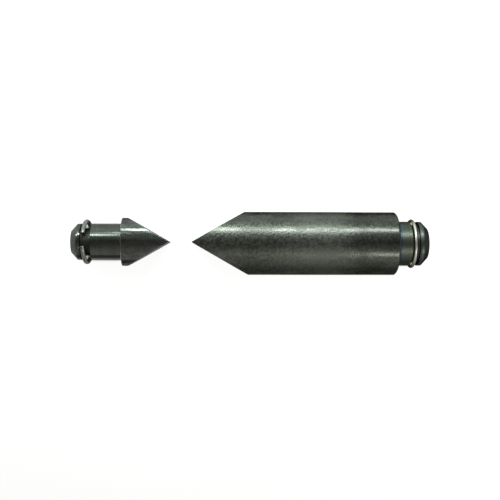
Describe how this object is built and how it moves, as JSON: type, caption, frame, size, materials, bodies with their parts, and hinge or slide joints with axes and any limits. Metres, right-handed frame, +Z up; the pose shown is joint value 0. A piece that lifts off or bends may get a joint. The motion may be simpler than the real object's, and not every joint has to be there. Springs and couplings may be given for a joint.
{
  "type": "splitter blade pair",
  "caption": "Long and short wedge-point steel blades, turned from round bar with shouldered push-in spigots and loose wire snap rings, laid edge to edge as in a nut splitter.",
  "frame": {"origin": "on the surface that the blades lie on, under the middle of the pair's box", "axes": "+X along both blades from the short one's spigot to the long one's spigot, +Z up, the cutting edges upright"},
  "size_m": [0.1128, 0.02, 0.0199],
  "materials": {
    "scaled_black_steel": "hardened steel blackened by heat treatment, finely mottled scale on the body, smoother turned spigot",
    "turned_black_steel": "hardened steel, turned and blackened, satin with fine turning lines",
    "bright_spring_wire": "drawn spring wire, bright",
    "dull_spring_wire": "drawn spring wire, dull grey"
  },
  "bodies": {
    "long_blade": {"long_blade": "scaled_black_steel"},
    "long_snap_ring": {"long_snap_ring": "bright_spring_wire"},
    "short_blade": {"short_blade": "turned_black_steel"},
    "short_snap_ring": {"short_snap_ring": "dull_spring_wire"}
  },
  "joints": [
    {"name": "long_ring_turn", "type": "hinge", "parent": "long_blade", "child": "long_snap_ring", "pos_m": [0.05166, 0, 0.00941], "axis": [1, 0, -0.0068], "continuous": true},
    {"name": "blade_feed", "type": "slide", "parent": "long_blade", "child": "short_blade", "axis": [1, 0, 0], "range_m": [-0.025, 0.0068]},
    {"name": "short_ring_turn", "type": "hinge", "parent": "short_blade", "child": "short_snap_ring", "pos_m": [-0.05161, 0.0004, 0.00712], "axis": [0.9949, 0, 0.1008], "continuous": true}
  ]
}
